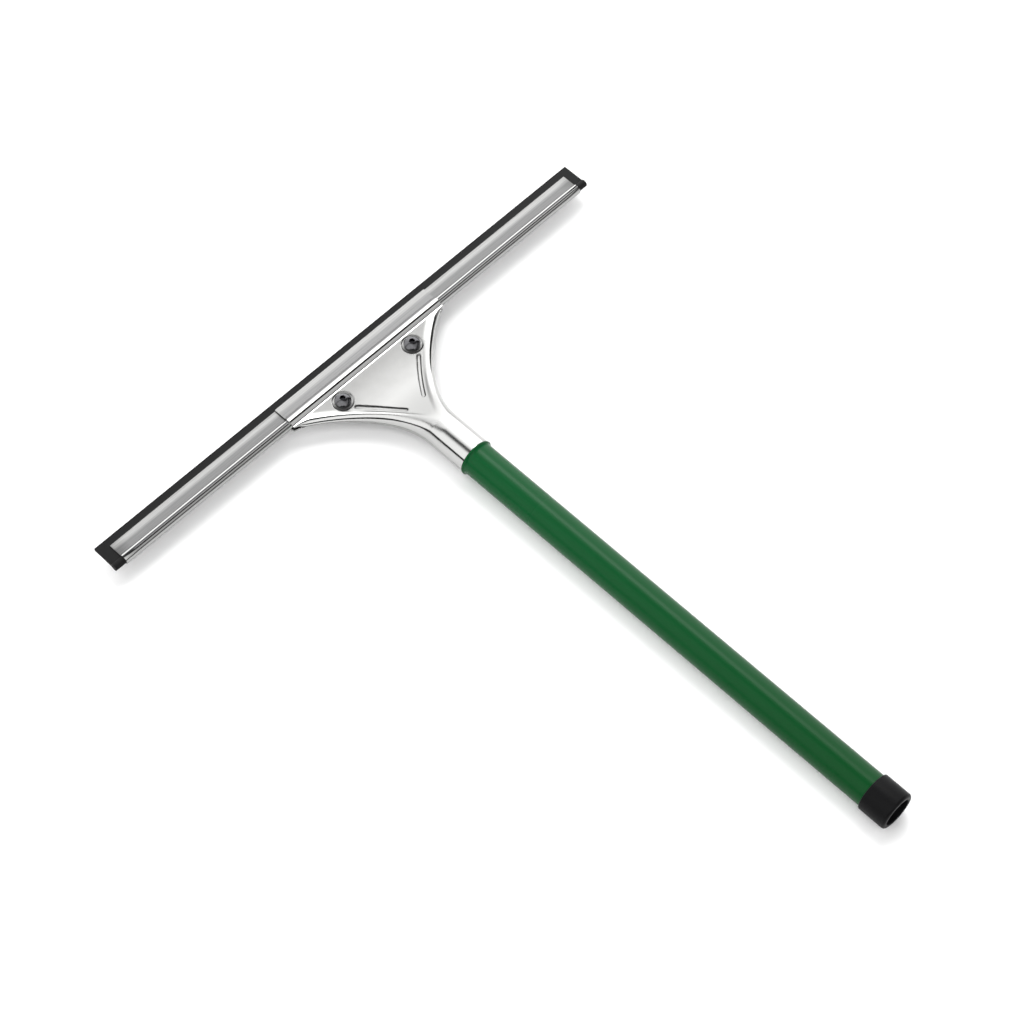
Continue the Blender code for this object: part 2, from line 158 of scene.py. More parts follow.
def mergeSlivers(piece, shortest):
    # Edges too short to see are merged, so that no face is left without area
    applyAll(piece)
    bpy.ops.object.mode_set(mode="EDIT")
    bpy.ops.mesh.select_all(action="SELECT")
    bpy.ops.mesh.remove_doubles(threshold=shortest)
    bpy.ops.mesh.dissolve_degenerate(threshold=shortest)
    bpy.ops.object.mode_set(mode="OBJECT")
    piece.data.validate()


def finishPiece(piece, name, finish, node):
    # Modifiers applied, place in the mesh, and the piece put on the body of the node that it stands for
    applyAll(piece)
    piece.name = piece.data.name = name
    bpy.ops.object.shade_smooth_by_angle(angle=math.radians(shared["smoothAngle"]))
    piece.data.materials.clear()
    piece.data.materials.append(finish)
    body = next(b for b, nodes in frame["record"]["behaviour"]["bodies"].items() if node in nodes)
    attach(piece, body)
    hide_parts(node)
    return piece


def lathe(profile):
    # A closed line of (radius, set-back) points, drawn by extruding one vertex, then spun round the handle
    points = [place(0, setBack, radius) for radius, setBack in profile + profile[:1]]
    nothingPicked()
    bpy.ops.mesh.primitive_plane_add(size=shared["startSize"], location=points[0])
    piece = bpy.context.object
    bpy.ops.object.mode_set(mode="EDIT")
    bpy.ops.mesh.select_mode(type="VERT")
    bpy.ops.mesh.select_all(action="SELECT")
    bpy.ops.mesh.merge(type="CENTER")
    bpy.ops.mesh.select_all(action="SELECT")
    for start, end in zip(points, points[1:]):
        bpy.ops.mesh.extrude_vertices_move(TRANSFORM_OT_translate={"value": end - start})
    bpy.ops.mesh.select_all(action="SELECT")
    bpy.ops.mesh.spin(steps=shared["turnedSides"], angle=2 * math.pi, center=place(0, 0, 0), axis=(0, 1, 0))
    bpy.ops.mesh.select_all(action="SELECT")
    bpy.ops.mesh.remove_doubles(threshold=shared["mergeWithin"])
    bpy.ops.mesh.normals_make_consistent(inside=False)
    nothingPicked()
    return piece


def arcPoints(centre, radius, start, end, steps):
    turns = [start + (end - start) * i / steps for i in range(steps + 1)]
    return [(centre[0] + radius * math.cos(a), centre[1] + radius * math.sin(a)) for a in turns]


# Camera: the photograph's own angle, with half its width and its focal length in pixels
camera = {"azimuth": -45.4, "elevation": 59.14, "distance": 1.4607, "halfWidth": 512, "focalLength": 2699,
          "aim": (-0.0109, 0.1430, 0.0)}
turn, lift = math.radians(camera["azimuth"]), math.radians(camera["elevation"])
towardsCamera = Vector((math.sin(turn) * math.cos(lift), -math.cos(turn) * math.cos(lift), math.sin(lift)))
cameraData = bpy.data.cameras.new("camera")
cameraData.angle = 2 * math.atan(camera["halfWidth"] / camera["focalLength"])
cameraObject = bpy.data.objects.new("camera", cameraData)
cameraObject.location = place(*camera["aim"]) + towardsCamera * camera["distance"]
cameraObject.rotation_euler = (-towardsCamera).to_track_quat("-Z", "Y").to_euler()
bpy.context.scene.collection.objects.link(cameraObject)
bpy.context.scene.camera = cameraObject
bpy.context.scene.view_settings.view_transform = "Standard"
print("camera stands")

# Studio light, as directions on the sky: a large softbox far and right with a bright lamp in it, a fill
# near and left that is weaker to the right, a slanting black flag between them that is deepest at its
# middle, and a second flag low over the near side. Each pair below is where a change starts and ends.
sky = {"farLeft": 1.9, "farRight": 2.7, "farTurn": (-0.3, 0.6), "farFoot": (0.12, 0.20),
       "fillLeft": 1.85, "fillRight": 1.0, "fillTurn": (-0.35, 0.3),
       "low": 0.8, "black": 0.02, "soft": 0.03, "flag": (0.382, 0.924, 0.0),
       "flagTop": (((0.15, 0.30), (0.365, 0.12)), ((0.365, 0.12), (0.90, 0.42))),
       "flagFoot": (((-0.304, 0.175), (0.05, -0.26)), ((0.365, -0.26), (0.80, 0.11))),
       "lowFlag": (-0.2425, 0.0, 1.0), "lowFlagFoot": 0.16, "lowFlagTop": 0.43, "lowFlagCorner": 0.25,
       "cornerEast": (-0.2, -0.45), "cornerNorth": (0.0, -0.4),
       "lamp": 9.0, "lampAt": (0.37, 0.36, 0.857), "lampSpread": (0.975, 0.990)}
world = bpy.data.worlds.new("studio")
bpy.context.scene.world = world
world.use_nodes = True
tree = world.node_tree
direction = addNode(tree, "ShaderNodeTexCoord")


def skyAlong(run):
    node = addNode(tree, "ShaderNodeVectorMath", {"operation": "DOT_PRODUCT"},
                   {0: direction.outputs["Generated"]}, {1: run})
    return node.outputs["Value"]


def skyStep(value, low, high):
    # Zero at low and one at high, whichever is the larger, with a soft edge
    falls = low > high
    node = addNode(tree, "ShaderNodeMapRange", {"interpolation_type": "SMOOTHSTEP"}, {"Value": value},
                   {"From Min": min(low, high), "From Max": max(low, high),
                    "To Min": float(falls), "To Max": float(not falls)})
    return node.outputs[0]


def setOrLink(socket, value):
    if isinstance(value, (int, float)):
        socket.default_value = value
    else:
        tree.links.new(value, socket)


def skyBetween(value, low, high):
    # One between two levels, zero outside, with soft edges
    above = addNode(tree, "ShaderNodeMath", {"operation": "SUBTRACT"}, {0: value})
    below = addNode(tree, "ShaderNodeMath", {"operation": "SUBTRACT"}, {1: value})
    setOrLink(above.inputs[1], low)
    setOrLink(below.inputs[0], high)
    both = addNode(tree, "ShaderNodeMath", {"operation": "MINIMUM"}, {0: above.outputs[0], 1: below.outputs[0]})
    return skyStep(both.outputs[0], -sky["soft"], sky["soft"])


def skyMix(share, one, other):
    node = addNode(tree, "ShaderNodeMix", {"data_type": "FLOAT"}, {0: share})
    setOrLink(node.inputs[2], one)
    setOrLink(node.inputs[3], other)
    return node.outputs[0]


across, over, eastward = skyAlong(sky["flag"]), skyAlong(sky["lowFlag"]), skyAlong((1, 0, 0))


def skyEdge(name):
    # A flag's edge, as high as the higher of two slopes given by their ends
    slopes = [addNode(tree, "ShaderNodeMapRange", None, {"Value": eastward},
                      {"From Min": a, "From Max": b, "To Min": start, "To Max": end}).outputs[0]
              for (a, start), (b, end) in sky[name]]
    return addNode(tree, "ShaderNodeMath", {"operation": "MAXIMUM"}, {0: slopes[0], 1: slopes[1]}).outputs[0]


light = skyMix(skyStep(eastward, *sky["fillTurn"]), sky["fillLeft"], sky["fillRight"])
light = skyMix(skyStep(over, sky["lowFlagTop"], sky["lowFlagFoot"]), light, sky["low"])
corner = addNode(tree, "ShaderNodeMath", {"operation": "MULTIPLY"},
                 {0: skyStep(eastward, *sky["cornerEast"]),
                  1: skyStep(skyAlong((0, 1, 0)), *sky["cornerNorth"])})
raised = addNode(tree, "ShaderNodeMath", {"operation": "MULTIPLY_ADD"}, {0: corner.outputs[0]},
                 {1: sky["lowFlagCorner"], 2: sky["lowFlagTop"]})
light = skyMix(skyBetween(over, sky["lowFlagFoot"], raised.outputs[0]), light, sky["black"])
far = skyMix(skyStep(eastward, *sky["farTurn"]), sky["farLeft"], sky["farRight"])
light = skyMix(skyStep(across, *sky["farFoot"]), light, far)
light = skyMix(skyStep(skyAlong(sky["lampAt"]), *sky["lampSpread"]), light, sky["lamp"])
light = skyMix(skyBetween(across, skyEdge("flagFoot"), skyEdge("flagTop")), light, sky["black"])
tree.links.new(light, tree.nodes["Background"].inputs["Strength"])
tree.nodes["Background"].inputs["Color"].default_value = (1, 1, 1, 1)

# Floor: plain pale paper, just under the object
sheet = {"size": 60, "below": 0.0001, "color": "#fbfbfb", "roughness": 0.9}
nothingPicked()
bpy.ops.mesh.primitive_plane_add(size=sheet["size"], location=(0, 0, cadBox[0].z - sheet["below"]))
floor = bpy.context.object
floor.name = "floor"
paper, tree, shader = newMaterial("pale matt paper")
shader.inputs["Base Color"].default_value = hexColor(sheet["color"])
shader.inputs["Roughness"].default_value = sheet["roughness"]
shader.inputs["Specular IOR Level"].default_value = 0.0
floor.data.materials.append(paper)
print("studio lit")

# Natural rubber, moulded: nearly black and matt, with a faint bloom
rubber = {"color": "#090909", "bloom": "#121213", "bloomSize": 0.004, "roughness": 0.75,
          "ior": 1.52, "specular": 0.2}
rubberFinish, tree, shader = newMaterial("moulded black natural rubber")
where = addNode(tree, "ShaderNodeTexCoord")
bloom = addNode(tree, "ShaderNodeTexNoise", None, {"Vector": where.outputs["Object"]},
                {"Scale": 1 / rubber["bloomSize"], "Detail": 4.0, "Roughness": 0.6})
tint = addNode(tree, "ShaderNodeMix", {"data_type": "RGBA"}, {0: bloom.outputs["Fac"]},
               {6: hexColor(rubber["color"]), 7: hexColor(rubber["bloom"])})
tree.links.new(tint.outputs[2], shader.inputs["Base Color"])
shader.inputs["Roughness"].default_value = rubber["roughness"]
shader.inputs["IOR"].default_value = rubber["ior"]
shader.inputs["Specular IOR Level"].default_value = rubber["specular"]

# Brushed stainless steel of the lips: grey streaks that run with the blade, and painted shade that leaves them
# greyer towards the hump and paler by the rubber's edge.
# The streaks are wider than real brushing marks, so that they show.
brushed = {"roughness": (0.40, 0.54), "streakLength": 0.030, "streakWidth": 0.0007, "streakDepth": 0.36,
           "streakRange": (0.35, 0.65), "reliefStrength": 0.25, "relief": 0.00002,
           "paleEnd": 0.0068, "greyStart": 0.0100, "lipSoft": 0.0004, "bright": "#b4b4b3", "polished": 0.12}


def brushedSteel(tree, shader, steel):
    # The lips' colour and roughness, with fine relief, and how far a point lies on the lip, not the hump
    where = addNode(tree, "ShaderNodeTexCoord").outputs["Object"]
    fineness = (1 / brushed["streakLength"], 1 / brushed["streakWidth"], 1 / brushed["streakWidth"])
    stretch = addNode(tree, "ShaderNodeMapping", None, {"Vector": where}, {"Scale": fineness})
    noise = addNode(tree, "ShaderNodeTexNoise", None, {"Vector": stretch.outputs[0]},
                    {"Scale": 1.0, "Detail": 4.0, "Roughness": 0.7})
    streaks = addNode(tree, "ShaderNodeMapRange", None, {"Value": noise.outputs["Fac"]},
                      {"From Min": brushed["streakRange"][0], "From Max": brushed["streakRange"][1]})
    depth = addNode(tree, "ShaderNodeSeparateXYZ", None, {"Vector": where}).outputs["Y"]
    # Painted shade: the lip's colour runs from grey by the hump to pale by the rubber's edge
    lipShadeRamp = addNode(tree, "ShaderNodeMapRange", {"interpolation_type": "SMOOTHSTEP"}, {"Value": depth},
                    {"From Min": frontY - brushed["greyStart"], "From Max": frontY - brushed["paleEnd"]})
    lip = addNode(tree, "ShaderNodeMapRange", None, {"Value": depth},
                  {"From Min": frontY - steel["lipEnd"] - brushed["lipSoft"],
                   "From Max": frontY - steel["lipEnd"]})
    tone = addNode(tree, "ShaderNodeMix", {"data_type": "RGBA"}, {0: lipShadeRamp.outputs[0]},
                   {6: hexColor(steel["grey"]), 7: hexColor(steel["pale"])})
    dim = addNode(tree, "ShaderNodeMapRange", None, {"Value": streaks.outputs[0]},
                  {"To Min": 1 - brushed["streakDepth"]})
    streaky = addNode(tree, "ShaderNodeMix", {"data_type": "RGBA", "blend_type": "MULTIPLY"},
                      {6: tone.outputs[2], 7: dim.outputs[0]}, {0: 1.0})
    gloss = addNode(tree, "ShaderNodeMapRange", None, {"Value": streaks.outputs[0]},
                    {"To Min": brushed["roughness"][0], "To Max": brushed["roughness"][1]})
    fine = addNode(tree, "ShaderNodeMath", {"operation": "MULTIPLY"},
                   {0: streaks.outputs[0], 1: lip.outputs[0]})
    grain = addNode(tree, "ShaderNodeBump", None, {"Height": fine.outputs[0]},
                    {"Strength": brushed["reliefStrength"], "Distance": brushed["relief"]})
    tree.links.new(grain.outputs[0], shader.inputs["Normal"])
    return streaky.outputs[2], gloss.outputs[0], lip.outputs[0]


# Stainless steel strip of the channel, brushed on its lips and bright where it is folded
channelFinish, tree, shader = newMaterial("brushed stainless steel strip")
folded = {"pale": "#919190", "grey": "#6c6c6c", "lipEnd": 0.0137,
          "line": "#2e2e2f", "behind": "#9d9d9c", "lineAt": 0.0157, "lineHalf": 0.0004, "soft": 0.0004}
tone, gloss, lip = brushedSteel(tree, shader, folded)
finish = addNode(tree, "ShaderNodeMix", {"data_type": "FLOAT"}, {0: lip, 3: gloss}, {2: brushed["polished"]})
# Painted reflection: a dark line along the top of the fold, and a greyer face behind it
where = addNode(tree, "ShaderNodeTexCoord")
along = addNode(tree, "ShaderNodeSeparateXYZ", None, {"Vector": where.outputs["Object"]})
off = addNode(tree, "ShaderNodeMath", {"operation": "SUBTRACT"}, {0: along.outputs["Y"]},
              {1: frontY - folded["lineAt"]})
behind = addNode(tree, "ShaderNodeMapRange", None, {"Value": off.outputs[0]},
                 {"From Min": -folded["soft"], "From Max": 0.0})
fold = addNode(tree, "ShaderNodeMix", {"data_type": "RGBA"}, {0: behind.outputs[0]},
               {6: hexColor(folded["behind"]), 7: hexColor(brushed["bright"])})
away = addNode(tree, "ShaderNodeMath", {"operation": "ABSOLUTE"}, {0: off.outputs[0]})
line = addNode(tree, "ShaderNodeMapRange", {"interpolation_type": "SMOOTHSTEP"}, {"Value": away.outputs[0]},
               {"From Min": folded["lineHalf"], "From Max": folded["lineHalf"] + folded["soft"]})
lined = addNode(tree, "ShaderNodeMix", {"data_type": "RGBA"}, {0: line.outputs[0], 7: fold.outputs[2]},
                {6: hexColor(folded["line"])})
shine = addNode(tree, "ShaderNodeMix", {"data_type": "RGBA"}, {0: lip, 6: lined.outputs[2], 7: tone})
tree.links.new(shine.outputs[2], shader.inputs["Base Color"])
tree.links.new(finish.outputs[0], shader.inputs["Roughness"])
shader.inputs["Metallic"].default_value = 1.0

# Pressed stainless steel: brushed lips, satin web, bright where the press has rolled it over
pressed = {"pale": "#919190", "grey": "#777777", "lipEnd": 0.0145,
           "shaded": "#767675", "open": "#989897", "openFrom": 0.024, "openTo": 0.050,
           "paintedShade": "#2c2c2c", "satin": 0.48, "mottle": 0.006, "unevenness": 0.3}
plateFinish, tree, shader = newMaterial("pressed satin stainless steel")
tone, gloss, lip = brushedSteel(tree, shader, pressed)
where = addNode(tree, "ShaderNodeTexCoord")
mottle = addNode(tree, "ShaderNodeTexNoise", None, {"Vector": where.outputs["Object"]},
                 {"Scale": 1 / pressed["mottle"], "Detail": 5.0, "Roughness": 0.6})
# Painted shade makes the satin greyer by the jaw; it is also slightly uneven from pickling
away = addNode(tree, "ShaderNodeSeparateXYZ", None, {"Vector": where.outputs["Object"]})
jawShadeRamp = addNode(tree, "ShaderNodeMapRange", None, {"Value": away.outputs["Y"]},
                 {"From Min": frontY - pressed["openFrom"], "From Max": frontY - pressed["openTo"]})
uneven = addNode(tree, "ShaderNodeMath", {"operation": "MULTIPLY_ADD"},
                 {0: mottle.outputs["Fac"], 2: jawShadeRamp.outputs[0]}, {1: pressed["unevenness"]})
satin = addNode(tree, "ShaderNodeMix", {"data_type": "RGBA"}, {0: uneven.outputs[0]},
                {6: hexColor(pressed["shaded"]), 7: hexColor(pressed["open"])})
flat = addNode(tree, "ShaderNodeAttribute", {"attribute_name": "flatness"})
panel = addNode(tree, "ShaderNodeMix", {"data_type": "RGBA"}, {0: flat.outputs["Fac"], 7: satin.outputs[2]},
                {6: hexColor(brushed["bright"])})
polish = addNode(tree, "ShaderNodeMapRange", None, {"Value": flat.outputs["Fac"]},
                 {"To Min": brushed["polished"], "To Max": pressed["satin"]})
# Painted shade: the grooves' and seats' walls are darkened on one side
paintedShade = addNode(tree, "ShaderNodeAttribute", {"attribute_name": "paintedShade"})
paintedShadeTone = addNode(tree, "ShaderNodeMix", {"data_type": "RGBA"}, {0: paintedShade.outputs["Fac"], 6: panel.outputs[2]},
               {7: hexColor(pressed["paintedShade"])})
shine = addNode(tree, "ShaderNodeMix", {"data_type": "RGBA"}, {0: lip, 6: paintedShadeTone.outputs[2], 7: tone})
finish = addNode(tree, "ShaderNodeMix", {"data_type": "FLOAT"}, {0: lip, 2: polish.outputs[0], 3: gloss})
tree.links.new(shine.outputs[2], shader.inputs["Base Color"])
tree.links.new(finish.outputs[0], shader.inputs["Roughness"])
shader.inputs["Metallic"].default_value = 1.0

# Blackened steel of the screws: smooth and grey-black, with painted shade that makes the sockets blackest
blackened = {"light": "#69696b", "dark": "#4b4b4d", "socket": "#0b0b0c", "roughness": 0.2, "patina": 0.0011,
             "socketRadius": 0.0019, "socketTop": 0.0049}
screwFinish, tree, shader = newMaterial("blackened smooth screw steel")
where = addNode(tree, "ShaderNodeTexCoord")
patina = addNode(tree, "ShaderNodeTexNoise", None, {"Vector": where.outputs["Object"]},
                 {"Scale": 1 / blackened["patina"], "Detail": 4.0})
tint = addNode(tree, "ShaderNodeMix", {"data_type": "RGBA"}, {0: patina.outputs["Fac"]},
               {6: hexColor(blackened["dark"]), 7: hexColor(blackened["light"])})
# Painted shade lies within a radius of either screw's axis, up to just above the socket's floor
fromHandle = addNode(tree, "ShaderNodeVectorMath", {"operation": "SUBTRACT"}, {0: where.outputs["Object"]},
                     {1: place(0, screwAt["setBack"], blackened["socketTop"])})
mirrored = addNode(tree, "ShaderNodeVectorMath", {"operation": "ABSOLUTE"}, {0: fromHandle.outputs[0]})
flattened = addNode(tree, "ShaderNodeVectorMath", {"operation": "MULTIPLY"}, {0: mirrored.outputs[0]},
                    {1: (1, 1, 0)})
fromAxis = addNode(tree, "ShaderNodeVectorMath", {"operation": "DISTANCE"}, {0: flattened.outputs[0]},
                   {1: (screwAt["x"], 0, 0)})
inside = addNode(tree, "ShaderNodeMath", {"operation": "LESS_THAN"}, {0: fromAxis.outputs["Value"]},
                 {1: blackened["socketRadius"]})
above = addNode(tree, "ShaderNodeSeparateXYZ", None, {"Vector": fromHandle.outputs[0]})
below = addNode(tree, "ShaderNodeMath", {"operation": "LESS_THAN"}, {0: above.outputs["Z"]}, {1: 0.0})
socketShade = addNode(tree, "ShaderNodeMath", {"operation": "MULTIPLY"}, {0: inside.outputs[0], 1: below.outputs[0]})
shine = addNode(tree, "ShaderNodeMix", {"data_type": "RGBA"}, {0: socketShade.outputs[0], 6: tint.outputs[2]},
                {7: hexColor(blackened["socket"])})
tree.links.new(shine.outputs[2], shader.inputs["Base Color"])
shader.inputs["Metallic"].default_value = 1.0
shader.inputs["Roughness"].default_value = blackened["roughness"]

# Nickel-plated steel of the nuts and washers: bright, with a faint cloudiness
plated = {"dark": "#b9b9b8", "light": "#d2d2d1", "cloud": 0.002, "roughness": 0.2}
nutFinish, tree, shader = newMaterial("bright plated steel")
where = addNode(tree, "ShaderNodeTexCoord")
plating = addNode(tree, "ShaderNodeTexNoise", None, {"Vector": where.outputs["Object"]},
                  {"Scale": 1 / plated["cloud"], "Detail": 4.0})
tint = addNode(tree, "ShaderNodeMix", {"data_type": "RGBA"}, {0: plating.outputs["Fac"]},
               {6: hexColor(plated["dark"]), 7: hexColor(plated["light"])})
tree.links.new(tint.outputs[2], shader.inputs["Base Color"])
shader.inputs["Metallic"].default_value = 1.0
shader.inputs["Roughness"].default_value = plated["roughness"]

# Drawn steel tube: dull, with fine lines along it
drawnTube = {"dark": "#a3a3a4", "light": "#c4c4c4", "linesPerMetre": (1200, 40, 1200), "roughness": 0.35}
tubeFinish, tree, shader = newMaterial("plain drawn steel tube")
where = addNode(tree, "ShaderNodeTexCoord")
drawn = addNode(tree, "ShaderNodeMapping", None, {"Vector": where.outputs["Object"]},
                {"Scale": drawnTube["linesPerMetre"]})
lines = addNode(tree, "ShaderNodeTexNoise", None, {"Vector": drawn.outputs[0]}, {"Scale": 1.0, "Detail": 3.0})
tint = addNode(tree, "ShaderNodeMix", {"data_type": "RGBA"}, {0: lines.outputs["Fac"]},
               {6: hexColor(drawnTube["dark"]), 7: hexColor(drawnTube["light"])})
tree.links.new(tint.outputs[2], shader.inputs["Base Color"])
shader.inputs["Metallic"].default_value = 1.0
shader.inputs["Roughness"].default_value = drawnTube["roughness"]

# Green vinyl sleeve, extruded: satin gloss with a faint drag texture along the tube, duller towards the cap,
# and painted shade that darkens it towards the cap
vinyl = {"light": "#064e27", "dark": "#05461f", "paintedShadeTone": "#003f18", "roughness": 0.27, "capEndRoughness": 0.31,
         "capwardFrom": 0.13, "capwardTo": 0.38, "dragLength": 0.020, "dragWidth": 0.0012,
         "ior": 1.53, "specular": 0.10}
sleeveFinish, tree, shader = newMaterial("extruded green vinyl")
where = addNode(tree, "ShaderNodeTexCoord")
drag = addNode(tree, "ShaderNodeMapping", None, {"Vector": where.outputs["Object"]},
               {"Scale": (1 / vinyl["dragWidth"], 1 / vinyl["dragLength"], 1 / vinyl["dragWidth"])})
lines = addNode(tree, "ShaderNodeTexNoise", None, {"Vector": drag.outputs[0]}, {"Scale": 1.0, "Detail": 4.0})
tint = addNode(tree, "ShaderNodeMix", {"data_type": "RGBA"}, {0: lines.outputs["Fac"]},
               {6: hexColor(vinyl["dark"]), 7: hexColor(vinyl["light"])})
along = addNode(tree, "ShaderNodeSeparateXYZ", None, {"Vector": where.outputs["Object"]})
# Painted shade: the colour darkens along the sleeve towards the cap, as the roughness rises
capwardShare = addNode(tree, "ShaderNodeMapRange", None, {"Value": along.outputs["Y"]},
               {"From Min": frontY - vinyl["capwardFrom"], "From Max": frontY - vinyl["capwardTo"]})
paintedShadeTone = addNode(tree, "ShaderNodeMix", {"data_type": "RGBA"}, {0: capwardShare.outputs[0], 6: tint.outputs[2]},
               {7: hexColor(vinyl["paintedShadeTone"])})
dull = addNode(tree, "ShaderNodeMapRange", None, {"Value": capwardShare.outputs[0]},
               {"To Min": vinyl["roughness"], "To Max": vinyl["capEndRoughness"]})
tree.links.new(paintedShadeTone.outputs[2], shader.inputs["Base Color"])
tree.links.new(dull.outputs[0], shader.inputs["Roughness"])
shader.inputs["IOR"].default_value = vinyl["ior"]
shader.inputs["Specular IOR Level"].default_value = vinyl["specular"]

# Black polyethylene cap, moulded: soft satin with a spark texture
polythene = {"dark": "#0a0a0b", "light": "#121213", "sparkSize": 0.000625, "sparkStrength": 0.2,
             "sparkHeight": 0.00005, "roughness": 0.42, "ior": 1.51, "specular": 0.06}
capFinish, tree, shader = newMaterial("moulded black polyethylene")
where = addNode(tree, "ShaderNodeTexCoord")
spark = addNode(tree, "ShaderNodeTexNoise", None, {"Vector": where.outputs["Object"]},
                {"Scale": 1 / polythene["sparkSize"], "Detail": 3.0})
tint = addNode(tree, "ShaderNodeMix", {"data_type": "RGBA"}, {0: spark.outputs["Fac"]},
               {6: hexColor(polythene["dark"]), 7: hexColor(polythene["light"])})
grain = addNode(tree, "ShaderNodeBump", None, {"Height": spark.outputs["Fac"]},
                {"Strength": polythene["sparkStrength"], "Distance": polythene["sparkHeight"]})
tree.links.new(tint.outputs[2], shader.inputs["Base Color"])
tree.links.new(grain.outputs[0], shader.inputs["Normal"])
shader.inputs["Roughness"].default_value = polythene["roughness"]
shader.inputs["IOR"].default_value = polythene["ior"]
shader.inputs["Specular IOR Level"].default_value = polythene["specular"]
print("materials mixed")

# Rubber blade: a flat strip with a round bead along its back
blade = {"thickness": 0.0022, "beadRadius": 0.00225, "beadSetBack": 0.0158, "beadSides": 32,
         "edge": 0.00025, "edgeAngle": 35}
length = rubberBox[1].x - rubberBox[0].x
middleX = (rubberBox[1].x + rubberBox[0].x) / 2 - axisX
nothingPicked()
bpy.ops.mesh.primitive_cylinder_add(vertices=blade["beadSides"], radius=blade["beadRadius"], depth=length,
                                    location=place(middleX, blade["beadSetBack"], 0),
                                    rotation=(0, math.pi / 2, 0))
bead = bpy.context.object
applyAll(bead)
nothingPicked()
bpy.ops.mesh.primitive_cube_add(size=1, location=place(middleX, blade["beadSetBack"] / 2, 0))
strip = bpy.context.object
strip.scale = (length, blade["beadSetBack"], blade["thickness"])
applyAll(strip)
booleanWith(strip, bead, "UNION")
softEdges(strip, blade["edge"], blade["edgeAngle"])
finishPiece(strip, "rubberStrip", rubberFinish, "rubber_blade")
print("rubber laid")

# Blade channel: a strip folded round the bead, made by spinning one lip's edge round the bead
channel = {"sheet": 0.0006, "radius": 0.0030, "lipHeight": 0.00185, "fillet": 0.0005, "lipStart": 0.0050,
           "cells": 40, "lipRows": 4, "filletSteps": 6, "foldSteps": 36, "reach": 1e-5,
           "edge": 0.00012, "edgeAngle": 60}
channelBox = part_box("blade_channel")
centreHeight = channel["lipHeight"] + channel["fillet"]
rise = math.sqrt((channel["radius"] + channel["fillet"]) ** 2 - centreHeight ** 2)
filletSetBack = blade["beadSetBack"] - rise
sweep = math.pi / 2 - math.atan2(centreHeight, rise)
length = channelBox[1].x - channelBox[0].x
middleX = (channelBox[1].x + channelBox[0].x) / 2 - axisX
nothingPicked()
bpy.ops.mesh.primitive_grid_add(x_subdivisions=channel["cells"], y_subdivisions=channel["lipRows"], size=1,
                                location=place(middleX, (channel["lipStart"] + filletSetBack) / 2,
                                               channel["lipHeight"]))
strip = bpy.context.object
strip.scale = (length, filletSetBack - channel["lipStart"], 1)
applyAll(strip)
bpy.ops.object.mode_set(mode="EDIT")
backY = frontY - filletSetBack
pick(strip, lambda co: co.y < backY + channel["reach"])
bpy.ops.mesh.spin(steps=channel["filletSteps"], angle=sweep, axis=(1, 0, 0),
                  center=place(0, filletSetBack, centreHeight))
bpy.ops.mesh.spin(steps=channel["foldSteps"], angle=2 * (math.pi / 2 + sweep), axis=(-1, 0, 0),
                  center=place(0, blade["beadSetBack"], 0))
bpy.ops.mesh.spin(steps=channel["filletSteps"], angle=sweep, axis=(1, 0, 0),
                  center=place(0, filletSetBack, -channel["lipHeight"] - channel["fillet"]))
lowerLip = (0, filletSetBack - channel["lipStart"], 0)
bpy.ops.mesh.extrude_region_move(TRANSFORM_OT_translate={"value": lowerLip})
bpy.ops.mesh.select_all(action="SELECT")
bpy.ops.mesh.remove_doubles(threshold=shared["mergeWithin"])
nothingPicked()
wall = strip.modifiers.new("sheet", "SOLIDIFY")
wall.thickness, wall.offset = channel["sheet"], -1
softEdges(strip, channel["edge"], channel["edgeAngle"])
finishPiece(strip, "foldedChannel", channelFinish, "blade_channel")
print("channel folded")

# Clamp plates: pressed steel, a jaw over the channel, a flat web with a rolled rim, and a half-round neck.
# Their doubly curved faces are set out in mesh code, row by row from the jaw to the neck.
plate = {"sheet": 0.0011, "jawLength": 0.115, "jawLipHeight": 0.0031, "jawRadius": 0.00425,
         "humpFillet": 0.0020, "webHeight": 0.0025, "tipReach": 0.0241, "tipAngle": 26.4,
         "neckReach": 0.0224, "neckRadius": 0.0109, "neckSetBack": 0.0780, "neckEnd": 0.1040,
         "rimWidth": 0.0034, "rimShare": 0.8, "slopeWidth": 0.0025, "slopeShare": 0.7,
         "sideClosing": 0.0035, "crownStart": 0.0400, "crownEnd": 0.0740, "seam": 0.0002,
         "grooveStart": (0.0240, 0.0353), "grooveEnd": (0.0068, 0.0569), "grooveBow": 0.0006,
         "grooveHalf": 0.00145, "grooveWall": 0.0009, "grooveDepth": 0.0010, "grooveShade": 8,
         "seatRadius": 0.0069, "seatWall": 0.0016, "seatDepth": 0.0005, "seatShade": 2, "seatShadeRun": 0.005,
         "holeRadius": 0.00275, "drillSides": 48, "drillLength": 0.02, "drillHeight": 0.003,
         "rows": {"lip": 6, "lipFillet": 6, "hump": 24, "webFillet": 8, "web": 170, "neck": 4},
         "cells": {"rim": 16, "slope": 8, "panel": 76},
         "satin": {"jawRows": 9, "behindJaw": 0.0002, "margin": 2, "wallShine": 0.8, "crown": 0.95,
                   "crownFrom": 0.050, "crownRun": 0.014, "rimCells": 8, "neckFrom": 0.068, "neckRun": 0.018}}
jawBack = blade["beadSetBack"] + math.sqrt((plate["jawRadius"] + plate["humpFillet"]) ** 2
                                           - (plate["webHeight"] + plate["humpFillet"]) ** 2)


def eased(share):
    share = min(max(share, 0.0), 1.0)
    return share * share * (3 - 2 * share)


